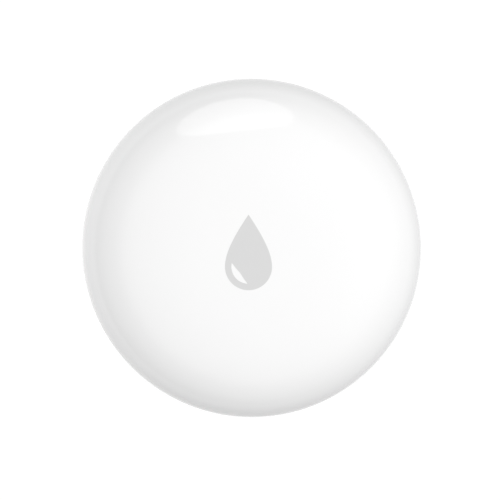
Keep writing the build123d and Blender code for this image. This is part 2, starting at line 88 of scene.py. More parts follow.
class Amount:
    """A value that varies over a surface. Sums and products of amounts add Math nodes."""

    def __init__(self, bench, socket):
        self.bench = bench
        self.socket = socket

    def combined(self, operation, first, second):
        """A Math node on two amounts or numbers."""
        return self.bench.node("ShaderNodeMath", {"operation": operation}, {0: first, 1: second})

    def __add__(self, other):
        return self.combined("ADD", self, other)

    __radd__ = __add__

    def __sub__(self, other):
        return self.combined("SUBTRACT", self, other)

    def __rsub__(self, other):
        return self.combined("SUBTRACT", other, self)

    def __mul__(self, other):
        return self.combined("MULTIPLY", self, other)

    __rmul__ = __mul__

    def __truediv__(self, other):
        return self.combined("DIVIDE", self, other)

    def __rtruediv__(self, other):
        return self.combined("DIVIDE", other, self)

    def __pow__(self, other):
        return self.combined("POWER", self, other)

    def __rpow__(self, other):
        return self.combined("POWER", other, self)

    def __abs__(self):
        return self.bench.node("ShaderNodeMath", {"operation": "ABSOLUTE"}, {0: self})

    def larger(self, other):
        """The larger one of two amounts."""
        return self.combined("MAXIMUM", self, other)

    def eased(self, start, end, low=0.0, high=1.0):
        """This amount, moved smoothly from the span start to end onto the span low to high."""
        return self.bench.node(
            "ShaderNodeMapRange",
            {"interpolation_type": "SMOOTHSTEP"},
            {"Value": self, "From Min": start, "From Max": end, "To Min": low, "To Max": high},
        )

    def spread(self, low=0.0, high=1.0):
        """A noise's usual values, moved smoothly onto the span low to high."""
        return self.eased(NOISE_LOW, NOISE_HIGH, low, high)


class Bench:
    """The nodes of one material or of the world."""

    def __init__(self, owner):
        self.owner = owner
        owner.use_nodes = True
        self.tree = owner.node_tree
        self.tree.nodes.clear()

    def node(self, kind, settings=None, inputs=None, output=0):
        """A node's output. Its settings are made before its inputs."""
        made = self.tree.nodes.new(kind)
        for name, value in (settings or {}).items():
            setattr(made, name, value)
        for name, value in (inputs or {}).items():
            if isinstance(value, Amount):
                self.tree.links.new(value.socket, made.inputs[name])
            else:
                made.inputs[name].default_value = value
        return Amount(self, made.outputs[output]) if made.outputs else made

    def place(self, stretch=(1, 1, 1)):
        """Place on the part in metres, stretched along its axes."""
        point = self.node("ShaderNodeTexCoord", output="Object")
        return self.node("ShaderNodeMapping", inputs={"Vector": point, "Scale": stretch})

    def along(self, vector):
        """The three numbers of a vector."""
        parts = self.node("ShaderNodeSeparateXYZ", inputs={0: vector})
        outputs = parts.socket.node.outputs
        return [Amount(self, outputs[axis]) for axis in range(3)]

    def facing(self):
        """The three numbers of the surface's own direction."""
        return self.along(self.node("ShaderNodeNewGeometry", output="Normal"))

    def radius_and_turn(self):
        """Distance from the part's axis, and angle round it."""
        across, along, _ = self.along(self.place())
        radius = (across * across + along * along) ** 0.5
        return radius, across.combined("ARCTAN2", along, across)

    def noise(self, size, detail=3.0, roughness=0.5, stretch=(1, 1, 1), place=None):
        """Soft noise whose patches are about as wide as the size, in metres."""
        inputs = {
            "Vector": place or self.place(stretch),
            "Scale": 1 / size,
            "Detail": detail,
            "Roughness": roughness,
        }
        return self.node("ShaderNodeTexNoise", inputs=inputs)

    def cells(self, size, feature="F1"):
        """Distance field of cells that are about as wide as the size, in metres."""
        inputs = {"Vector": self.place(), "Scale": 1 / size}
        return self.node("ShaderNodeTexVoronoi", {"feature": feature}, inputs, output="Distance")

    def blend(self, share, first, second):
        """Colour between two colours."""
        inputs = {
            MIX_SHARE: share,
            MIX_FIRST: colour_or_amount(first),
            MIX_SECOND: colour_or_amount(second),
        }
        return self.node("ShaderNodeMix", {"data_type": "RGBA"}, inputs, output=MIX_RESULT)

    def bump(self, height, depth, under=None):
        """Normal over a height from 0 to 1 that stands for the depth, in metres."""
        inputs = {"Height": height, "Distance": depth, "Strength": 1.0}
        if under:
            inputs["Normal"] = under
        return self.node("ShaderNodeBump", inputs=inputs)

    def rays(self, kind):
        """1 for the rays of one kind."""
        return self.node("ShaderNodeLightPath", output=f"Is {kind} Ray")

    def backdrop_rays(self):
        """1 for the rays that see the white backdrop: camera, gloss and clear parts."""
        return self.rays("Camera").larger(self.rays("Glossy")).larger(self.rays("Transmission"))

    def surface(self, **inputs):
        """The material, ended in one principled surface."""
        named = {name.replace("_", " "): value for name, value in inputs.items()}
        shader = self.node("ShaderNodeBsdfPrincipled", inputs=named)
        self.node("ShaderNodeOutputMaterial", inputs={"Surface": shader})
        return self.owner


def colour_or_amount(value):
    """An amount as it is, or a plain colour with its fourth number."""
    return value if isinstance(value, Amount) else (*value[:3], 1.0)


def scaled(colour, share):
    """A colour, made darker or lighter by a share."""
    return tuple(level * share for level in colour[:3])


def material_bench(name):
    """Empty bench of a new material."""
    return Bench(bpy.data.materials.new(name))


def dress(material, *names):
    """Gives CAD nodes one material."""
    for name in names:
        mesh = frame["nodes"][name].data
        mesh.materials.clear()
        mesh.materials.append(material)


# Sizes and colours

# What the settings of one kind share
LENGTH = {"subtype": "DISTANCE", "unit": "LENGTH", "min": 0}
COLOUR = {"subtype": "COLOR", "size": 3, "min": 0, "max": 1}
SHARE = {"subtype": "FACTOR", "min": 0, "max": 1}
ANGLE = {"subtype": "ANGLE", "unit": "ROTATION"}


class CoverLooks(bpy.types.PropertyGroup):
    """Glossy moulded cover."""

    colour: FloatVectorProperty(
        name="Cover Colour", description="Colour of the glossy white plastic",
        default=(0.88, 0.88, 0.88), **COLOUR,
    )
    roughness: FloatProperty(
        name="Gloss Roughness", description="Roughness of the polished mould face",
        default=0.06, **SHARE,
    )
    ripple_width: FloatProperty(
        name="Ripple Width", description="Width of the faint ripples in the moulded gloss",
        default=2.4 * MILLIMETRE, **LENGTH,
    )
    ripple_depth: FloatProperty(
        name="Ripple Depth", description="Depth of the faint ripples in the moulded gloss",
        default=0.0012 * MILLIMETRE, **LENGTH,
    )
    crown_share: FloatProperty(
        name="Crown Share",
        description="How far out the dome stays flat, as a share of its radius",
        default=0.68, **SHARE,
    )
    shoulder_share: FloatProperty(
        name="Shoulder Share",
        description="How high the dome's side stays upright, as a share of its rise",
        default=0.77, **SHARE,
    )
    rim_round: FloatProperty(
        name="Rim Round", description="Rounding at the cover's lower rim",
        default=0.2 * MILLIMETRE, **LENGTH,
    )


class DropMark(bpy.types.PropertyGroup):
    """Printed water drop in the middle of the cover."""

    height: FloatProperty(
        name="Drop Height", description="From the bottom of the drop to its tip",
        default=10.85 * MILLIMETRE, **LENGTH,
    )
    width: FloatProperty(
        name="Drop Width", description="Width of the drop's round belly",
        default=6.75 * MILLIMETRE, **LENGTH,
    )
    ink_thickness: FloatProperty(
        name="Ink Thickness", description="Thickness of the printed ink",
        precision=6, default=0.008 * MILLIMETRE, **LENGTH,
    )
    apex_thickness: FloatProperty(
        name="Ink At The Apex", description="Thickness of the ink on the very top of the dome",
        precision=7, default=0.0005 * MILLIMETRE, **LENGTH,
    )
    glint_radius: FloatProperty(
        name="Glint Radius", description="Distance of the bare glint from the middle of the belly",
        default=2.45 * MILLIMETRE, **LENGTH,
    )
    glint_width: FloatProperty(
        name="Glint Width", description="Width of the bare glint at its middle",
        default=0.95 * MILLIMETRE, **LENGTH,
    )
    colour: FloatVectorProperty(
        name="Ink Colour", description="Colour of the light grey ink",
        default=(0.645, 0.645, 0.645), **COLOUR,
    )


class CasingLooks(bpy.types.PropertyGroup):
    """Textured lower casing, its door and the moulded marks on them."""

    colour: FloatVectorProperty(
        name="Casing Colour", description="Colour of the textured white plastic",
        default=(0.83, 0.83, 0.825), **COLOUR,
    )
    grain: FloatProperty(
        name="Grain Size", description="Size of the eroded grain of the mould face",
        default=0.16 * MILLIMETRE, **LENGTH,
    )
    grain_depth: FloatProperty(
        name="Grain Depth", description="Depth of the eroded grain of the mould face",
        precision=6, default=0.012 * MILLIMETRE, **LENGTH,
    )
    mark_height: FloatProperty(
        name="Mark Height", description="How far the moulded marks stand proud",
        precision=6, default=0.2 * MILLIMETRE, **LENGTH,
    )
    mark_size: FloatProperty(
        name="Mark Size", description="Width of each moulded mark",
        default=2.8 * MILLIMETRE, **LENGTH,
    )
    mark_circle: FloatProperty(
        name="Mark Circle", description="Distance of the casing's marks from the middle",
        default=17.7 * MILLIMETRE, **LENGTH,
    )
    pointer_circle: FloatProperty(
        name="Pointer Circle", description="Distance of the door's pointer from the middle",
        default=13.0 * MILLIMETRE, **LENGTH,
    )
    closed_angle: FloatProperty(
        name="Closed Angle", description="Where the closed mark stands",
        default=math.radians(135), **ANGLE,
    )


class InnerLooks(bpy.types.PropertyGroup):
    """Coin cell, contacts, board and probes."""

    steel: FloatVectorProperty(
        name="Cell Steel", description="Colour of the coin cell's steel",
        default=(0.62, 0.61, 0.59), **COLOUR,
    )
    gold: FloatVectorProperty(
        name="Gold Plating", description="Colour of the plated contacts and probes",
        default=(0.83, 0.63, 0.34), **COLOUR,
    )
    nickel: FloatVectorProperty(
        name="Nickel Plating", description="Colour of nickel and tin plating",
        default=(0.68, 0.67, 0.64), **COLOUR,
    )
    solder_mask: FloatVectorProperty(
        name="Solder Mask", description="Colour of the board's lacquer",
        default=(0.015, 0.11, 0.045), **COLOUR,
    )
    dome_sheet: FloatProperty(
        name="Dome Sheet", description="Thickness of the push switch's snap dome",
        precision=6, default=0.1 * MILLIMETRE, **LENGTH,
    )
    rubber: FloatVectorProperty(
        name="Seal Rubber", description="Colour of the rubber seals",
        default=(0.16, 0.165, 0.17), **COLOUR,
    )


class Studio(bpy.types.PropertyGroup):
    """Camera, floor and light."""

    lens: FloatProperty(
        name="Lens", description="Focal length",
        subtype="DISTANCE_CAMERA", unit="CAMERA", min=1, default=150,
    )
    frame_width: FloatProperty(
        name="Frame Width", description="Width that the picture covers at the cover's rim",
        default=73.94 * MILLIMETRE, **LENGTH,
    )
    lean_right: FloatProperty(
        name="Lean Right", description="Lean of the camera to the right of straight above",
        default=math.radians(2.33), **ANGLE,
    )
    lean_back: FloatProperty(
        name="Lean Back",
        description="Lean of the camera to the top of the picture from straight above",
        default=math.radians(3.44), **ANGLE,
    )
    slide_right: FloatProperty(
        name="Slide Right", description="How far the camera is slid to its right",
        subtype="DISTANCE", unit="LENGTH", default=-0.19 * MILLIMETRE,
    )
    slide_up: FloatProperty(
        name="Slide Up", description="How far the camera is slid to the top of its picture",
        subtype="DISTANCE", unit="LENGTH", default=-0.25 * MILLIMETRE,
    )
    floor_width: FloatProperty(
        name="Floor Width", description="Width of the pale floor",
        default=4.0, **LENGTH,
    )
    floor_drop: FloatProperty(
        name="Floor Drop",
        description="How far the floor lies below the feet, so that their flat ends show clean",
        precision=6, default=0.02 * MILLIMETRE, **LENGTH,
    )
    shadow_share: FloatProperty(
        name="Shadow Share", description="How strongly the floor takes the sensor's shadow",
        default=0.16, **SHARE,
    )
    room_level: FloatProperty(
        name="Room Level",
        description="Level of the room light on every side, where paper white is 1",
        min=0, default=0.02,
    )
    screen_share: FloatProperty(
        name="Screen Share",
        description="How much the low grey screen round the sensor darkens what gloss shows",
        default=0.6, **SHARE,
    )
    screen_lean: FloatProperty(
        name="Screen Lean", description="How much more the screen darkens on its own side",
        default=0.36, **SHARE,
    )
    screen_turn: FloatProperty(
        name="Screen Turn",
        description="Side that the screen darkens most, from the right of the picture",
        default=math.radians(155), **ANGLE,
    )
    lamp_distance: FloatProperty(
        name="Lamp Distance", description="Distance of the round soft lamp",
        default=0.8, **LENGTH,
    )
    lamp_turn: FloatProperty(
        name="Lamp Turn",
        description="Direction of the lamp round the sensor, from the right of the picture",
        default=math.radians(99.5), **ANGLE,
    )
    lamp_lift: FloatProperty(
        name="Lamp Lift", description="Height of the lamp above the floor's edge",
        default=math.radians(36.4), **ANGLE,
    )
    lamp_reach: FloatProperty(
        name="Lamp Reach",
        description="How wide the lamp looks from the sensor, from its middle to its edge",
        default=math.radians(21), **ANGLE,
    )
    lamp_level: FloatProperty(
        name="Lamp Level", description="Brightness of the lamp's face, where paper white is 1",
        min=0, default=1.45,
    )


# Shapes

# Steps that halve the span in which a point of the dome is looked for
HALVINGS = 40

# Edges that are sharper than this show as edges
SHARP_ANGLE = math.radians(40)

# How a flat filling is made: out to its points' hull, joining points that are closer than this
FILL_TO_HULL = 0
JOIN_GAP = 1e-9


def added(name, data):
    """A new object of the scene."""
    made = bpy.data.objects.new(name, data)
    bpy.context.scene.collection.objects.link(made)
    return made


def dome_height(distance):
    """Height of the cover's outer face at a distance from its axis."""
    looks = bpy.context.scene.sensor_cover
    radius, top = cover_high.x, cover_high.z
    end = cover_low.z + looks.rim_round
    across = (0, radius * looks.crown_share, radius, radius)
    up = (top, top, end + (top - end) * looks.shoulder_share, end)
    start, stop = 0.0, 1.0
    for _ in range(HALVINGS):
        middle = (start + stop) / 2
        if bezier(across, middle) < distance:
            start = middle
        else:
            stop = middle
    return bezier(up, (start + stop) / 2)


def bezier(values, share):
    """Value on a curve with four control values, at a share of its way."""
    rest = 1 - share
    weights = (rest**3, 3 * rest * rest * share, 3 * rest * share * share, share**3)
    return sum(weight * value for weight, value in zip(weights, values))


def arc(centre, radius, start, end, count):
    """Points on an arc, its ends included."""
    x, y = centre
    turns = [start + (end - start) * step / (count - 1) for step in range(count)]
    return [Vector((x + radius * math.cos(turn), y + radius * math.sin(turn))) for turn in turns]


def inside(point, loop):
    """Whether a point lies inside a closed loop."""
    found = False
    for first, second in zip(loop, loop[1:] + loop[:1]):
        if (first.y > point.y) != (second.y > point.y):
            share = (point.y - first.y) / (second.y - first.y)
            if point.x < first.x + share * (second.x - first.x):
                found = not found
    return found


def within(point, outline, holes):
    """Whether a point lies in an outline and in none of its holes."""
    return inside(point, outline) and not any(inside(point, hole) for hole in holes)


def clear_of(point, loops, gap):
    """Whether a point keeps a gap from the corners of loops."""
    return all((point - corner).length > gap for loop in loops for corner in loop)


def plate(name, outline, holes, low, high, grid=None):
    """Thin plate in an outline with holes, between two heights that may vary over it."""
    loops = [outline, *holes]
    points, edges = [], []
    for loop in loops:
        first = len(points)
        points.extend(loop)
        edges.extend((first + step, first + (step + 1) % len(loop)) for step in range(len(loop)))
    if grid:
        reach = max(max(abs(point.x), abs(point.y)) for point in outline)
        steps = math.ceil(reach / grid)
        for column in range(-steps, steps + 1):
            for row in range(-steps, steps + 1):
                point = Vector((column * grid, row * grid))
                if within(point, outline, holes) and clear_of(point, loops, grid / 2):
                    points.append(point)
    flat, _, triangles, *_ = delaunay_2d_cdt(points, edges, [], FILL_TO_HULL, JOIN_GAP)
    kept = []
    for corners in triangles:
        middle = sum((flat[corner] for corner in corners), Vector((0, 0))) / len(corners)
        if within(middle, outline, holes):
            kept.append(corners)
    mesh = bmesh.new()
    upper = [mesh.verts.new((point.x, point.y, high(point))) for point in flat]
    lower = [mesh.verts.new((point.x, point.y, low(point))) for point in flat]
    for corners in kept:
        mesh.faces.new([upper[corner] for corner in corners])
        mesh.faces.new([lower[corner] for corner in reversed(corners)])
    index = {vertex: place for place, vertex in enumerate(upper)}
    borders = [edge for edge in mesh.edges if edge.is_boundary and edge.verts[0] in index]
    for edge in borders:
        first, second = (index[loop.vert] for loop in edge_corners(edge))
        mesh.faces.new([upper[second], upper[first], lower[first], lower[second]])
        edge.smooth = False
    loose = [vertex for vertex in mesh.verts if not vertex.link_faces]
    bmesh.ops.delete(mesh, geom=loose, context="VERTS")
    return finished(mesh, name)


def finished(mesh, name):
    """Piece of a mesh, smooth but for its sharp edges."""
    bmesh.ops.recalc_face_normals(mesh, faces=mesh.faces)
    for face in mesh.faces:
        face.smooth = True
    for edge in mesh.edges:
        if edge.calc_face_angle(0) > SHARP_ANGLE:
            edge.smooth = False
    data = bpy.data.meshes.new(name)
    mesh.to_mesh(data)
    mesh.free()
    return added(name, data)


def spun(name, middle, profile, count=48):
    """Round solid on an upright axis, from distances and heights that start and end on the axis."""
    mesh = bmesh.new()
    x, y = middle.x, middle.y
    turns = [FULL_TURN * step / count for step in range(count)]
    start, end = (mesh.verts.new((x, y, height)) for _, height in (profile[0], profile[-1]))
    rings = []
    for far, height in profile[1:-1]:
        ring = [(x + far * math.cos(turn), y + far * math.sin(turn), height) for turn in turns]
        rings.append([mesh.verts.new(point) for point in ring])
    for step in range(count):
        after = (step + 1) % count
        mesh.faces.new((start, rings[0][step], rings[0][after]))
        mesh.faces.new((end, rings[-1][after], rings[-1][step]))
        for near, far in zip(rings, rings[1:]):
            mesh.faces.new((near[step], far[step], far[after], near[after]))
    return finished(mesh, name)


def edge_corners(edge):
    """The two corners of a border edge, in the order that its only face goes round them."""
    corner = edge.link_loops[0]
    return corner, corner.link_loop_next


# Cover and its mark


def glossy_plastic(looks):
    """Polished white plastic, with a moulding's faint ripple and haze."""
    bench = material_bench("cover_plastic")
    cloud = bench.noise(9 * MILLIMETRE, detail=2)
    tone = bench.blend(cloud.eased(0.35, 0.65), scaled(looks.colour, 0.996), looks.colour)
    haze = bench.noise(3 * MILLIMETRE, detail=4, roughness=0.6)
    ripple = bench.noise(looks.ripple_width, detail=1)
    polish = bench.noise(0.12 * MILLIMETRE, detail=2)
    normal = bench.bump(ripple, looks.ripple_depth)
    normal = bench.bump(polish, looks.ripple_depth * 0.03, under=normal)
    return bench.surface(
        Base_Color=tone,
        Roughness=haze.spread(looks.roughness - 0.01, looks.roughness + 0.015),
        Normal=normal,
        IOR=1.5,
    )


class SENSOR_OT_cover(bpy.types.Operator):
    """Finishes the domed cover"""

    bl_idname = "sensor.cover"
    bl_label = "Cover"

    def execute(self, context):
        dress(glossy_plastic(context.scene.sensor_cover), "top_cover")
        return {"FINISHED"}


# How the drop's side leaves its tip and runs into the belly: a share of the belly's half width,
# and two shares of the rise from the belly's middle to the tip
TIP_SPREAD = 0.55
TIP_FALL = 0.372
BELLY_RISE = 0.28

# The bare glint: where it starts and ends round the belly, its points, and how blunt its ends are
GLINT_START, GLINT_END = math.radians(168), math.radians(266)
GLINT_POINTS = 30
GLINT_BLUNTNESS = 0.7

# The ink's grid, and how much of the dome's own fall it may fill round the apex
INK_GRID = 0.22 * MILLIMETRE
INK_FILL = 0.9


def drop_outline(mark):
    """Outline of a water drop with its tip up, anticlockwise from the tip."""
    belly = mark.width / 2
    tip = mark.height / 2
    middle = belly - mark.height / 2
    rise = tip - middle
    across = (0, belly * TIP_SPREAD, belly, belly)
    up = (tip, tip - rise * TIP_FALL, middle + rise * BELLY_RISE, middle)
    steps = 26
    shares = [step / steps for step in range(1, steps)]
    right = [Vector((bezier(across, share), bezier(up, share))) for share in shares]
    left = [Vector((-point.x, point.y)) for point in right]
    round_end = arc((0, middle), belly, math.pi, FULL_TURN, count=56)
    return [Vector((0, tip)), *left, *round_end, *reversed(right)]


def glint_outline(mark):
    """Bare crescent inside the belly, at its lower left."""
    middle = mark.width / 2 - mark.height / 2
    outer = arc((0, middle), mark.glint_radius, GLINT_START, GLINT_END, GLINT_POINTS)
    inner = []
    for step in range(GLINT_POINTS - 2, 0, -1):
        share = step / (GLINT_POINTS - 1)
        turn = GLINT_START + (GLINT_END - GLINT_START) * share
        width = mark.glint_width * math.sin(math.pi * share) ** GLINT_BLUNTNESS
        reach = mark.glint_radius - width
        inner.append(Vector((reach * math.cos(turn), middle + reach * math.sin(turn))))
    return outer + inner


def ink(mark):
    """Flat grey printing ink with a fine grain."""
    bench = material_bench("grey_ink")
    grain = bench.noise(0.08 * MILLIMETRE, detail=2)
    cloud = bench.noise(1.5 * MILLIMETRE, detail=2)
    tone = bench.blend(cloud.spread(), scaled(mark.colour, 0.992), mark.colour)
    return bench.surface(
        Base_Color=tone,
        Roughness=grain.spread(0.4, 0.46),
        Normal=bench.bump(grain, 0.0004 * MILLIMETRE),
        IOR=1.45,
    )


class SENSOR_OT_mark(bpy.types.Operator):
    """Prints the water drop on the middle of the cover"""

    bl_idname = "sensor.mark"
    bl_label = "Drop Mark"

    def execute(self, context):
        mark = context.scene.sensor_mark
        # The dome's fall over the first millimetre from its axis
        fall = cover_high.z - dome_height(MILLIMETRE)

        def top(point):
            room = fall * (point.length / MILLIMETRE) ** 2
            thickness = min(mark.ink_thickness, mark.apex_thickness + room * INK_FILL)
            return dome_height(point.length) + thickness

        def bottom(point):
            return dome_height(point.length) - mark.ink_thickness

        glint = glint_outline(mark)
        piece = plate("drop_mark", drop_outline(mark), [glint], bottom, top, grid=INK_GRID)
        piece.data.materials.append(ink(mark))
        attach(piece, "cover")
        return {"FINISHED"}


# Casing, door and their moulded marks


def textured_plastic(name, looks, share=1.0):
    """White plastic from an eroded mould face, a little shinier in soft patches."""
    bench = material_bench(name)
    grain = bench.noise(looks.grain, detail=4, roughness=0.65)
    pits = bench.cells(looks.grain * 1.6)
    cloud = bench.noise(6 * MILLIMETRE, detail=3)
    colour = scaled(looks.colour, share)
    return bench.surface(
        Base_Color=bench.blend(cloud.spread(), scaled(colour, 0.985), colour),
        Roughness=cloud.spread(0.46, 0.58),
        Normal=bench.bump(grain * 0.7 + pits * 0.3, looks.grain_depth),
        IOR=1.5,
    )


class SENSOR_OT_casing(bpy.types.Operator):
    """Finishes the lower casing and the battery door"""

    bl_idname = "sensor.casing"
    bl_label = "Casing And Door"

    def execute(self, context):
        looks = context.scene.sensor_casing
        dress(textured_plastic("base_plastic", looks), "base_case")
        dress(textured_plastic("door_plastic", looks, share=0.99), "battery_door")
        return {"FINISHED"}


# Padlock marks, as shares of their width, but for the shift, which is a share of the bow's radius
LOCK_HEIGHT = 0.75
LOCK_DROP = 0.25
LOCK_CORNER = 0.12
BOW_RADIUS = 0.3
BOW_STROKE = 0.17
BOW_MIDDLE = 0.32
BOW_FOOT = 0.1
OPEN_FOOT = 0.2
OPEN_SHIFT = 1.9

# The door's pointer, as a share of a padlock's width
POINTER_SHARE = 0.8

# How deep a moulded mark is rooted and how far its edges are rounded, as shares of its height
MARK_ROOT = 0.4
MARK_ROUND = 0.3


def pointer_outline(size):
    """Small triangle that points away from the middle."""
    half = size / 2
    return [Vector((-half, -half)), Vector((half, -half)), Vector((0, half))]


def padlock_outlines(size, opened):
    """Body of a padlock, and its bow, which stands to one side when opened."""
    half, corner = size / 2, size * LOCK_CORNER
    body = []
    for side_x, side_y, start in ((1, 1, 0), (-1, 1, 1), (-1, -1, 2), (1, -1, 3)):
        height = side_y * (half * LOCK_HEIGHT - corner) - size * LOCK_DROP
        turn = QUARTER_TURN * start
        centre = (side_x * (half - corner), height)
        body += arc(centre, corner, turn, turn + QUARTER_TURN, count=5)
    bow, stroke = size * BOW_RADIUS, size * BOW_STROKE
    wide, narrow = bow + stroke / 2, bow - stroke / 2
    shift = bow * OPEN_SHIFT if opened else 0.0
    middle = (shift, size * BOW_MIDDLE)
    foot = size * BOW_FOOT
    free_foot = size * OPEN_FOOT if opened else foot
    hoop = [Vector((shift + wide, free_foot)), *arc(middle, wide, 0, math.pi, count=17)]
    hoop += [Vector((shift - wide, foot)), Vector((shift - narrow, foot))]
    hoop += [*arc(middle, narrow, math.pi, 0, count=17), Vector((shift + narrow, free_foot))]
    return [body, hoop]


def placed(loop, turn, circle):
    """A loop on a circle under the casing, read from below, its top away from the middle."""
    place = Matrix.Rotation(turn - QUARTER_TURN, 2)
    return [place @ Vector((-point.x, point.y + circle)) for point in loop]


def moulded_marks(name, loops, face, looks, material, body):
    """Moulded relief under a face that looks down."""
    low, high = face - looks.mark_height, face + looks.mark_height * MARK_ROOT
    for number, loop in enumerate(loops):
        piece = plate(f"{name}_{number + 1}", loop, [], lambda _: low, lambda _: high)
        soften = piece.modifiers.new("rounded", "BEVEL")
        soften.width = looks.mark_height * MARK_ROUND
        soften.segments = 2
        soften.limit_method = "ANGLE"
        piece.data.materials.append(material)
        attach(piece, body)


class SENSOR_OT_turn_marks(bpy.types.Operator):
    """Moulds the pointer on the door, and the closed and open marks beside it"""

    bl_idname = "sensor.turn_marks"
    bl_label = "Turn Marks"

    def execute(self, context):
        looks = context.scene.sensor_casing
        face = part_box("battery_door")[0].z
        material = textured_plastic("mark_plastic", looks, share=0.9)
        size, circle = looks.mark_size, looks.mark_circle
        closed_turn, open_turn = looks.closed_angle, looks.closed_angle - QUARTER_TURN
        closed = [placed(loop, closed_turn, circle) for loop in padlock_outlines(size, False)]
        opened = [placed(loop, open_turn, circle) for loop in padlock_outlines(size, True)]
        pointer = [placed(pointer_outline(size * POINTER_SHARE), closed_turn, looks.pointer_circle)]
        for name, loops, body, slot in (
            ("closed_mark", closed, "housing", "base_plastic"),
            ("open_mark", opened, "housing", "base_plastic"),
            ("door_pointer", pointer, "door", "door_plastic"),
        ):
            moulded_marks(name, loops, face, looks, material, body)
        return {"FINISHED"}


# Seals


def seal_rubber(looks):
    """Dull rubber with a faint bloom and a fine moulding grain."""
    bench = material_bench("seal_rubber")
    bloom = bench.noise(1.2 * MILLIMETRE, detail=4, roughness=0.6)
    grain = bench.noise(0.05 * MILLIMETRE, detail=3)
    tone = bench.blend(bloom.eased(0.35, 0.7), looks.rubber, scaled(looks.rubber, 1.35))
    return bench.surface(
        Base_Color=tone,
        Roughness=bloom.spread(0.62, 0.78),
        Normal=bench.bump(grain, 0.003 * MILLIMETRE),
        IOR=1.52,
    )


class SENSOR_OT_seals(bpy.types.Operator):
    """Finishes the rubber seals"""

    bl_idname = "sensor.seals"
    bl_label = "Seals"

    def execute(self, context):
        rubber = seal_rubber(context.scene.sensor_inner)
        dress(rubber, "case_seal", "door_seal", "probe_seal_left", "probe_seal_right")
        return {"FINISHED"}


# Coin cell


def drawn_steel(name, colour, streak, shortening=3):
    """Drawn steel with streaks round its axis and small scuffs."""
    bench = material_bench(name)
    radius, turn = bench.radius_and_turn()
    _, _, height = bench.along(bench.place())
    round_place = bench.node(
        "ShaderNodeCombineXYZ",
        inputs={"X": radius / streak, "Y": turn * shortening, "Z": height / streak},
    )
    streaks = bench.noise(1.0, detail=3, roughness=0.7, place=round_place)
    scuffs = bench.cells(0.8 * MILLIMETRE, feature="DISTANCE_TO_EDGE")
    scratch = 1 - scuffs.eased(0.0, 0.02)
    tone = bench.blend(streaks.spread(), scaled(colour, 0.88), colour)
    return bench.surface(
        Base_Color=tone,
        Roughness=streaks.spread(0.22, 0.36) + scratch * 0.06,
        Metallic=1.0,
        Normal=bench.bump(streaks, 0.002 * MILLIMETRE),
    )


def gasket_plastic():
    """Smoky dark grommet of the cell."""
    bench = material_bench("gasket_plastic")
    cloud = bench.noise(0.9 * MILLIMETRE, detail=3)
    tone = bench.blend(cloud.spread(), (0.09, 0.09, 0.095), (0.15, 0.15, 0.15))
    return bench.surface(Base_Color=tone, Roughness=cloud.spread(0.32, 0.45), IOR=1.49)


class SENSOR_OT_coin_cell(bpy.types.Operator):
    """Finishes the coin cell"""

    bl_idname = "sensor.coin_cell"
    bl_label = "Coin Cell"

    def execute(self, context):
        steel = context.scene.sensor_inner.steel
        dress(drawn_steel("cell_steel", steel, 0.09 * MILLIMETRE), "cell_can")
        dress(drawn_steel("cell_cap_metal", scaled(steel, 1.08), 0.16 * MILLIMETRE), "cell_cap")
        dress(gasket_plastic(), "cell_gasket")
        return {"FINISHED"}


# Contacts and probes


def rolled_metal(name, colour, roughness, lean=(1, 8, 1)):
    """Plated strip or pin with fine rolling lines and a slight stain."""
    bench = material_bench(name)
    lines = bench.noise(0.12 * MILLIMETRE, detail=3, roughness=0.6, stretch=lean)
    stain = bench.noise(1.4 * MILLIMETRE, detail=4, roughness=0.6)
    tone = bench.blend(stain.eased(0.45, 0.75), colour, scaled(colour, 0.92))
    sheen = lines.spread(roughness - 0.05, roughness + 0.07)
    return bench.surface(
        Base_Color=tone,
        Roughness=sheen + stain.eased(0.5, 0.8) * 0.08,
        Metallic=1.0,
        Normal=bench.bump(lines, 0.0012 * MILLIMETRE),
    )


class SENSOR_OT_contacts(bpy.types.Operator):
    """Finishes the spring contacts and the water probes"""

    bl_idname = "sensor.contacts"
    bl_label = "Contacts And Probes"

    def execute(self, context):
        looks = context.scene.sensor_inner
        springs = rolled_metal("spring_metal", looks.gold, 0.26)
        dress(springs, "positive_contact", "negative_contact")
        dress(springs, "probe_contact_left", "probe_contact_right")
        plating = rolled_metal("probe_plating", looks.gold, 0.2, lean=(1, 1, 6))
        dress(plating, "probe_left", "probe_right")
        return {"FINISHED"}


# Board


def board_laminate(looks):
    """Lacquered laminate: tracks under the lacquer on both faces, bare glass fibre on the edge."""
    bench = material_bench("board_laminate")
    _, _, up = bench.facing()
    face = abs(up).eased(0.5, 0.8)
    tracks = bench.node(
        "ShaderNodeTexBrick",
        {"offset": 0.37, "squash": 1.0},
        {
            "Vector": bench.place(),
            "Scale": 1.0,
            "Mortar Size": 0.16 * MILLIMETRE,
            "Mortar Smooth": 0.2,
            "Brick Width": 3.1 * MILLIMETRE,
            "Row Height": 1.15 * MILLIMETRE,
        },
        output="Fac",
    )
    pads = bench.cells(2.6 * MILLIMETRE)
    via = 1 - pads.eased(0.1, 0.13)
    track = tracks * pads.eased(0.1, 0.4)
    weave = bench.noise(0.35 * MILLIMETRE, detail=2, stretch=(1, 1, 0.2))
    lacquer = bench.blend(track, looks.solder_mask, scaled(looks.solder_mask, 2.1))
    lacquer = bench.blend(via, lacquer, scaled(looks.nickel, 0.9))
    fibre = bench.blend(weave.spread(), (0.42, 0.36, 0.2), (0.55, 0.49, 0.3))
    return bench.surface(
        Base_Color=bench.blend(face, fibre, lacquer),
        Roughness=face.eased(0, 1, 0.75, 0.3) + weave * 0.05,
        Metallic=via * face,
        Normal=bench.bump(track + via, 0.02 * MILLIMETRE),
        IOR=1.55,
    )


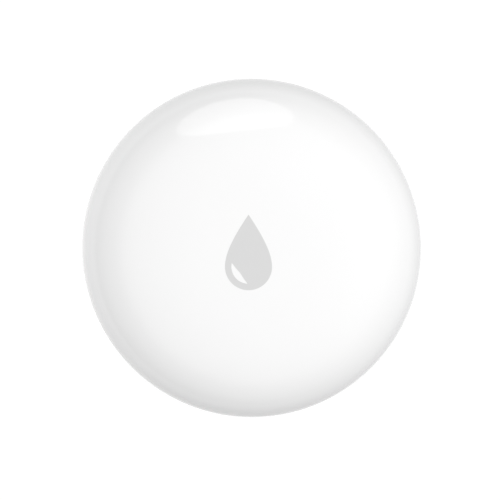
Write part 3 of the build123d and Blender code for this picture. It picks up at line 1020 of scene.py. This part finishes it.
def zinc_screw():
    """Zinc-plated screw steel with a mottled bloom."""
    bench = material_bench("screw_steel")
    mottle = bench.noise(0.3 * MILLIMETRE, detail=4, roughness=0.7)
    tone = bench.blend(mottle.eased(0.35, 0.65), (0.48, 0.49, 0.5), (0.62, 0.62, 0.6))
    return bench.surface(
        Base_Color=tone,
        Roughness=mottle.spread(0.28, 0.46),
        Metallic=1.0,
        Normal=bench.bump(mottle, 0.002 * MILLIMETRE),
    )


class SENSOR_OT_board(bpy.types.Operator):
    """Finishes the circuit board, its antenna and its screws"""

    bl_idname = "sensor.board"
    bl_label = "Circuit Board"

    def execute(self, context):
        looks = context.scene.sensor_inner
        dress(board_laminate(looks), "circuit_board")
        copper = scaled(looks.gold, 0.95)
        dress(rolled_metal("trace_copper", copper, 0.34, lean=(4, 4, 1)), "antenna_trace")
        dress(zinc_screw(), "board_screws")
        return {"FINISHED"}


# Speckled parts: node, material, darker and lighter colour, lowest and highest roughness
SMALL_PARTS = (
    ("capacitors", "capacitor_ceramic", (0.33, 0.24, 0.15), (0.42, 0.32, 0.21), (0.4, 0.55)),
    ("resistors", "resistor_ceramic", (0.02, 0.02, 0.025), (0.06, 0.06, 0.065), (0.3, 0.5)),
    ("led_substrate", "led_ceramic", (0.72, 0.71, 0.68), (0.8, 0.79, 0.76), (0.4, 0.55)),
)
SWITCH_PARTS = (
    ("switch_housing", "switch_plastic", (0.03, 0.03, 0.032), (0.06, 0.06, 0.062), (0.42, 0.56)),
    ("switch_stem", "stem_plastic", (0.045, 0.045, 0.047), (0.07, 0.07, 0.072), (0.34, 0.48)),
)


def dress_speckled(parts, grain):
    """Gives each part of a table its own speckled material."""
    for part, name, dark, light, roughness in parts:
        dress(speckled(name, grain, dark, light, roughness), part)


def speckled(name, grain, dark, light, roughness, metallic=0.0):
    """Fine speckled face of a small part, between two colours and two roughnesses."""
    bench = material_bench(name)
    speck = bench.noise(grain, detail=4, roughness=0.7)
    return bench.surface(
        Base_Color=bench.blend(speck.spread(), dark, light),
        Roughness=speck.spread(*roughness),
        Metallic=metallic,
        Normal=bench.bump(speck, 0.003 * MILLIMETRE),
    )


def chip_plastic():
    """Black moulded package with a round first-pin dimple."""
    bench = material_bench("chip_plastic")
    low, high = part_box("radio_chip")
    inset = 0.8 * MILLIMETRE
    across, along, _ = bench.along(bench.place())
    off_x, off_y = across - (low.x + inset), along - (high.y - inset)
    distance = (off_x * off_x + off_y * off_y) ** 0.5
    dimple = 1 - distance.eased(0.28 * MILLIMETRE, 0.34 * MILLIMETRE)
    speck = bench.noise(0.06 * MILLIMETRE, detail=4, roughness=0.7)
    tone = bench.blend(speck.spread(), (0.012, 0.012, 0.013), (0.035, 0.035, 0.036))
    return bench.surface(
        Base_Color=tone,
        Roughness=speck.spread(0.5, 0.64) - dimple * 0.28,
        Normal=bench.bump(speck * 0.1 - dimple, 0.03 * MILLIMETRE),
    )


def clear_resin():
    """Clear lens of the indicator lamp, with a faint milky cloud."""
    bench = material_bench("led_clear")
    cloud = bench.noise(0.3 * MILLIMETRE, detail=2)
    return bench.surface(
        Base_Color=bench.blend(cloud.spread(), (0.8, 0.84, 0.88), (0.9, 0.92, 0.95)),
        Roughness=cloud.spread(0.08, 0.16),
        IOR=1.53,
        Transmission_Weight=0.7,
    )


class SENSOR_OT_board_parts(bpy.types.Operator):
    """Finishes the chip and the small parts on the board"""

    bl_idname = "sensor.board_parts"
    bl_label = "Board Parts"

    def execute(self, context):
        nickel = context.scene.sensor_inner.nickel
        grain = 0.07 * MILLIMETRE
        dress(chip_plastic(), "radio_chip")
        metal = speckled("crystal_metal", grain, scaled(nickel, 0.9), nickel, (0.22, 0.34), 1.0)
        dress(metal, "crystal")
        dress_speckled(SMALL_PARTS, grain)
        dress(clear_resin(), "led_lens")
        return {"FINISHED"}


# Tact switch


def cap_line(radius, low, high, count=14):
    """Distances and heights on a shallow round cap, from its top to its foot."""
    rise = high - low
    sphere = (radius * radius + rise * rise) / (2 * rise)
    span = math.asin(radius / sphere)
    turns = [span * step / (count - 1) for step in range(count)]
    return [(sphere * math.sin(turn), high - sphere + sphere * math.cos(turn)) for turn in turns]


def snap_dome(looks):
    """Thin metal dome that the cover's stem comes down on."""
    low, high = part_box("switch_dome")
    middle, radius, sheet = (low + high) / 2, (high.x - low.x) / 2, looks.dome_sheet
    outer = cap_line(radius, low.z, high.z)
    inner = cap_line(radius - sheet, low.z, high.z - sheet)
    piece = spun("snap_dome", middle, outer + inner[::-1])
    press = next(joint for joint in frame["joints"] if joint["name"] == "cover_press")
    rise = high.z - low.z
    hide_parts("switch_dome")
    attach(piece, "housing")
    (rise - press["range_m"][1]) / rise
    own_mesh(piece)
    return piece


class SENSOR_OT_switch(bpy.types.Operator):
    """Finishes the push switch under the cover, and makes its snap dome"""

    bl_idname = "sensor.switch"
    bl_label = "Push Switch"

    def execute(self, context):
        looks = context.scene.sensor_inner
        dress_speckled(SWITCH_PARTS, 0.09 * MILLIMETRE)
        metal = rolled_metal("switch_metal", looks.nickel, 0.24)
        dress(metal, "switch_plate", "switch_terminals")
        snap_dome(looks).data.materials.append(metal)
        return {"FINISHED"}


# Studio

# Width of the camera's film in millimetres, and its clip distances as shares of its distance
FILM_WIDTH = 36
CLIP_NEAR, CLIP_FAR = 0.05, 100

# Light on the open floor counts as this share of paper white, so that only a shadow shows on it
OPEN_FLOOR = 0.8

# Soft panels of the room light: turn and lift in degrees, narrowness, and level (white is 1)
ROOM_PANELS = (
    (5, 25, 7, 1.5),
    (175, -55, 5.5, 2.4),
    (135, 82, 6.7, 1.97),
)

# Heights at which the low screen fades in and out, where straight up is 1, and how much higher
# its top is on its own side
SCREEN_FOOT = (-0.15, 0.15)
SCREEN_TOP = (0.56, 0.76)
SCREEN_TOP_LEAN = 0.1


def camera_axes(studio):
    """Right, up and back of the camera, which leans a little from straight above."""
    back = Vector((math.tan(studio.lean_right), math.tan(studio.lean_back), 1)).normalized()
    right = Vector((0, 1, 0)).cross(back).normalized()
    return right, back.cross(right), back


def make_camera(studio):
    """Camera over the cover."""
    right, up, back = camera_axes(studio)
    data = bpy.data.cameras.new("camera")
    data.lens = studio.lens
    data.sensor_width = FILM_WIDTH
    distance = studio.frame_width * studio.lens / data.sensor_width
    data.clip_start, data.clip_end = distance * CLIP_NEAR, distance * CLIP_FAR
    camera = added("camera", data)
    target = Vector((0, 0, cover_low.z)) + right * studio.slide_right + up * studio.slide_up
    turned = Matrix((right, up, back)).transposed().to_4x4()
    camera.matrix_world = Matrix.Translation(target + back * distance) @ turned
    bpy.context.scene.camera = camera


def paper_floor(studio):
    """Pale floor with the sensor's shadow, seen by the backdrop's rays and clear from below."""
    bench = material_bench("paper_floor")
    paper = bench.noise(0.4 * MILLIMETRE, detail=2)
    strength = 1.0 - studio.shadow_share * OPEN_FLOOR
    white = bench.node("ShaderNodeEmission", inputs={"Color": WHITE, "Strength": strength})
    tone = bench.blend(paper, (0.98, 0.98, 0.98), (1, 1, 1))
    dull = bench.node(
        "ShaderNodeBsdfPrincipled",
        inputs={"Base Color": tone, "Roughness": 1.0, "Specular IOR Level": 0.0},
    )
    clear = bench.node("ShaderNodeBsdfTransparent")
    nothing = bench.node("ShaderNodeEmission", inputs={"Strength": 0.0})
    shade = bench.node("ShaderNodeMixShader", inputs={0: studio.shadow_share, 1: nothing, 2: dull})
    lit = bench.node("ShaderNodeAddShader", inputs={0: white, 1: shade})
    below = bench.node("ShaderNodeNewGeometry", output="Backfacing")
    seen = bench.backdrop_rays() * (1 - below)
    mixed = bench.node("ShaderNodeMixShader", inputs={0: seen, 1: clear, 2: lit})
    bench.node("ShaderNodeOutputMaterial", inputs={"Surface": mixed})
    return bench.owner


def make_floor(studio):
    """Floor that is a hair below the feet."""
    half = studio.floor_width / 2
    mesh = bpy.data.meshes.new("floor")
    corners = [(-half, -half, 0), (half, -half, 0), (half, half, 0), (-half, half, 0)]
    mesh.from_pydata(corners, [], [(0, 1, 2, 3)])
    mesh.materials.append(paper_floor(studio))
    floor = added("floor", mesh)
    floor.location.z = -studio.floor_drop


def toward(turn, lift):
    """Direction that is turned from the picture's right, and lifted from the floor."""
    level = math.cos(lift)
    return Vector((level * math.cos(turn), level * math.sin(turn), math.sin(lift)))


def low_screen(studio, x, y, z):
    """How much the low grey screen darkens a direction. It fades out at the floor and overhead."""
    side = toward(studio.screen_turn, 0)
    nearness = x * side.x + y * side.y
    height = z.eased(*SCREEN_FOOT) * (1 - (z - nearness * SCREEN_TOP_LEAN).eased(*SCREEN_TOP))
    return height * (studio.screen_share + nearness * studio.screen_lean)


def make_room_light(studio):
    """Soft panels before a white backdrop, and the low grey screen that gloss alone shows."""
    world = bpy.data.worlds.new("room")
    bpy.context.scene.world = world
    bench = Bench(world)
    x, y, z = bench.along(bench.node("ShaderNodeTexCoord", output="Generated"))
    level = studio.room_level
    for turn, lift, focus, strength in ROOM_PANELS:
        panel = toward(math.radians(turn), math.radians(lift))
        nearness = (1 + x * panel.x + y * panel.y + z * panel.z) * 0.5
        level = level + nearness**focus * strength
    shown = level + bench.backdrop_rays() * (1 - level)
    shown = shown * (1 - bench.rays("Glossy") * low_screen(studio, x, y, z))
    light = bench.node("ShaderNodeBackground", inputs={"Color": WHITE, "Strength": shown})
    bench.node("ShaderNodeOutputWorld", inputs={"Surface": light})


def make_lamp(studio):
    """Round soft lamp at the top of the picture, which shows in gloss alone."""
    direction = toward(studio.lamp_turn, studio.lamp_lift)
    radius = studio.lamp_distance * math.tan(studio.lamp_reach)
    data = bpy.data.lights.new("soft_lamp", "AREA")
    data.shape = "DISK"
    data.size = 2 * radius
    # A face of level 1 gives pi watts for each square metre
    data.energy = studio.lamp_level * math.pi * math.pi * radius * radius
    lamp = added("soft_lamp", data)
    lamp.location = direction * studio.lamp_distance
    lamp.rotation_euler = direction.to_track_quat("Z", "Y").to_euler()
    lamp.visible_camera = False
    lamp.visible_diffuse = False


class SENSOR_OT_studio(bpy.types.Operator):
    """Makes the floor, the light and the camera"""

    bl_idname = "sensor.studio"
    bl_label = "Studio"

    def execute(self, context):
        studio = context.scene.sensor_studio
        make_camera(studio)
        make_floor(studio)
        make_room_light(studio)
        make_lamp(studio)
        context.scene.view_settings.view_transform = "Standard"
        return {"FINISHED"}


# Panel and registration


class SENSOR_PT_panel(bpy.types.Panel):
    """Lists the sensor's looks and the steps that make them"""

    bl_label = "Leak Sensor"
    bl_idname = "SENSOR_PT_panel"
    bl_space_type = "VIEW_3D"
    bl_region_type = "UI"
    bl_category = "Leak Sensor"

    def draw(self, context):
        for name, steps in PANEL_ROWS:
            looks = getattr(context.scene, name)
            box = self.layout.box()
            for setting in PROPERTY_GROUPS[name].__annotations__:
                box.prop(looks, setting)
            for step in steps:
                box.operator(step.bl_idname)


PROPERTY_GROUPS = {
    "sensor_cover": CoverLooks,
    "sensor_mark": DropMark,
    "sensor_casing": CasingLooks,
    "sensor_inner": InnerLooks,
    "sensor_studio": Studio,
}

PANEL_ROWS = (
    ("sensor_cover", (SENSOR_OT_cover,)),
    ("sensor_mark", (SENSOR_OT_mark,)),
    ("sensor_casing", (SENSOR_OT_casing, SENSOR_OT_turn_marks)),
    (
        "sensor_inner",
        (
            SENSOR_OT_seals,
            SENSOR_OT_coin_cell,
            SENSOR_OT_contacts,
            SENSOR_OT_board,
            SENSOR_OT_board_parts,
            SENSOR_OT_switch,
        ),
    ),
    ("sensor_studio", (SENSOR_OT_studio,)),
)


def register():
    """Registers the groups of sizes and colours, the steps and the panel."""
    for name, group in PROPERTY_GROUPS.items():
        bpy.utils.register_class(group)
        setattr(bpy.types.Scene, name, bpy.props.PointerProperty(type=group))
    for _, steps in PANEL_ROWS:
        for step in steps:
            bpy.utils.register_class(step)
    bpy.utils.register_class(SENSOR_PT_panel)


def unregister():
    """Takes back what register did."""
    bpy.utils.unregister_class(SENSOR_PT_panel)
    for _, steps in reversed(PANEL_ROWS):
        for step in reversed(steps):
            bpy.utils.unregister_class(step)
    for name, group in reversed(PROPERTY_GROUPS.items()):
        delattr(bpy.types.Scene, name)
        bpy.utils.unregister_class(group)


def main():
    """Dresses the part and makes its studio."""
    register()
    for make in (
        bpy.ops.sensor.cover,
        bpy.ops.sensor.mark,
        bpy.ops.sensor.casing,
        bpy.ops.sensor.turn_marks,
        bpy.ops.sensor.seals,
        bpy.ops.sensor.coin_cell,
        bpy.ops.sensor.contacts,
        bpy.ops.sensor.board,
        bpy.ops.sensor.board_parts,
        bpy.ops.sensor.switch,
        bpy.ops.sensor.studio,
    ):
        make()


if __name__ == "__main__":
    main()
